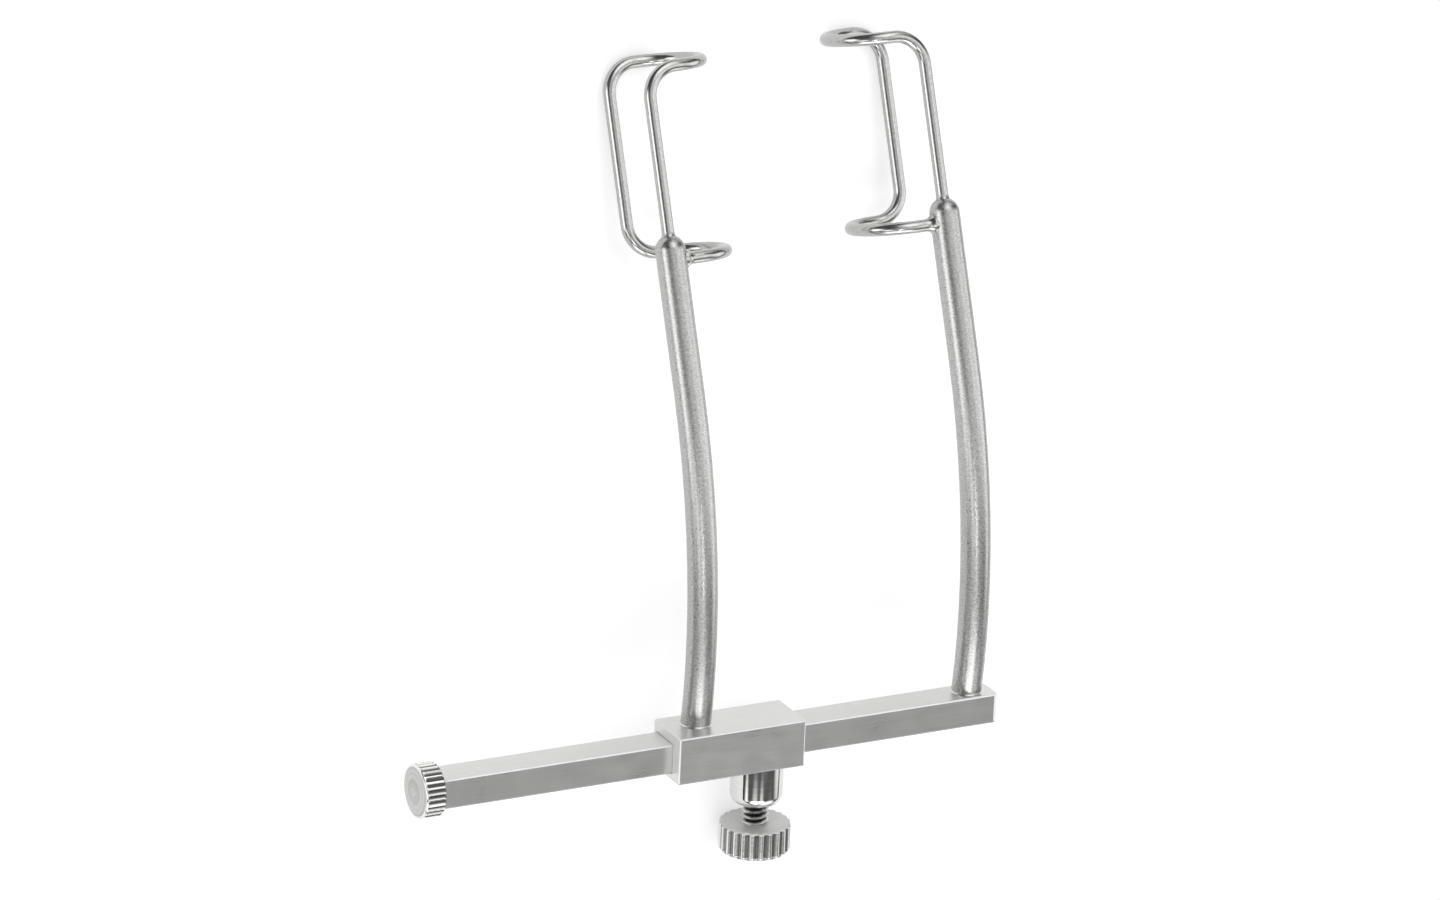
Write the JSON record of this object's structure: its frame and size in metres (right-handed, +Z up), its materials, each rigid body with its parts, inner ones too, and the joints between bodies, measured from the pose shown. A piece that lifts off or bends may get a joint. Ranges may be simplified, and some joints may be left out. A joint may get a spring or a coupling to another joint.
{
  "type": "eye speculum",
  "caption": "Adjustable wire eye speculum with bowed arms and bent-wire lid blades on a slide bar, its sliding block clamped by a thumb screw.",
  "frame": {"origin": "middle of the bounding box's underside, on the surface that the instrument lies on", "axes": "+X along the slide bar from the end stop to the fixed arm, +Y from the thumb screw towards the lid blades, +Z up from the surface"},
  "size_m": [0.0504, 0.064, 0.0117],
  "materials": {
    "bar_steel": "satin",
    "end_stop_steel": "polished",
    "fixed_arm_steel": "fine satin",
    "fixed_blade_steel": "polished",
    "block_steel": "satin",
    "boss_steel": "polished",
    "sliding_arm_steel": "fine satin",
    "sliding_blade_steel": "polished",
    "thumb_screw_steel": "polished"
  },
  "bodies": {
    "frame": {"bar": "bar_steel", "end_stop": "end_stop_steel", "fixed_arm": "fixed_arm_steel", "fixed_blade": "fixed_blade_steel"},
    "slider": {"slider_block": "block_steel", "clamp_boss": "boss_steel", "sliding_arm": "sliding_arm_steel", "sliding_blade": "sliding_blade_steel"},
    "screw": {"thumb_screw": "thumb_screw_steel"}
  },
  "joints": [
    {"name": "slider_slide", "type": "slide", "parent": "frame", "child": "slider", "axis": [1, 0, 0], "range_m": [-0.0197, 0.0105]},
    {"name": "thumb_screw_turn", "type": "hinge", "parent": "slider", "child": "screw", "pos_m": [0.00471, -0.02386, 0.00487], "axis": [0, 0.9581, 0.2863], "range_deg": [-900, 0]}
  ]
}
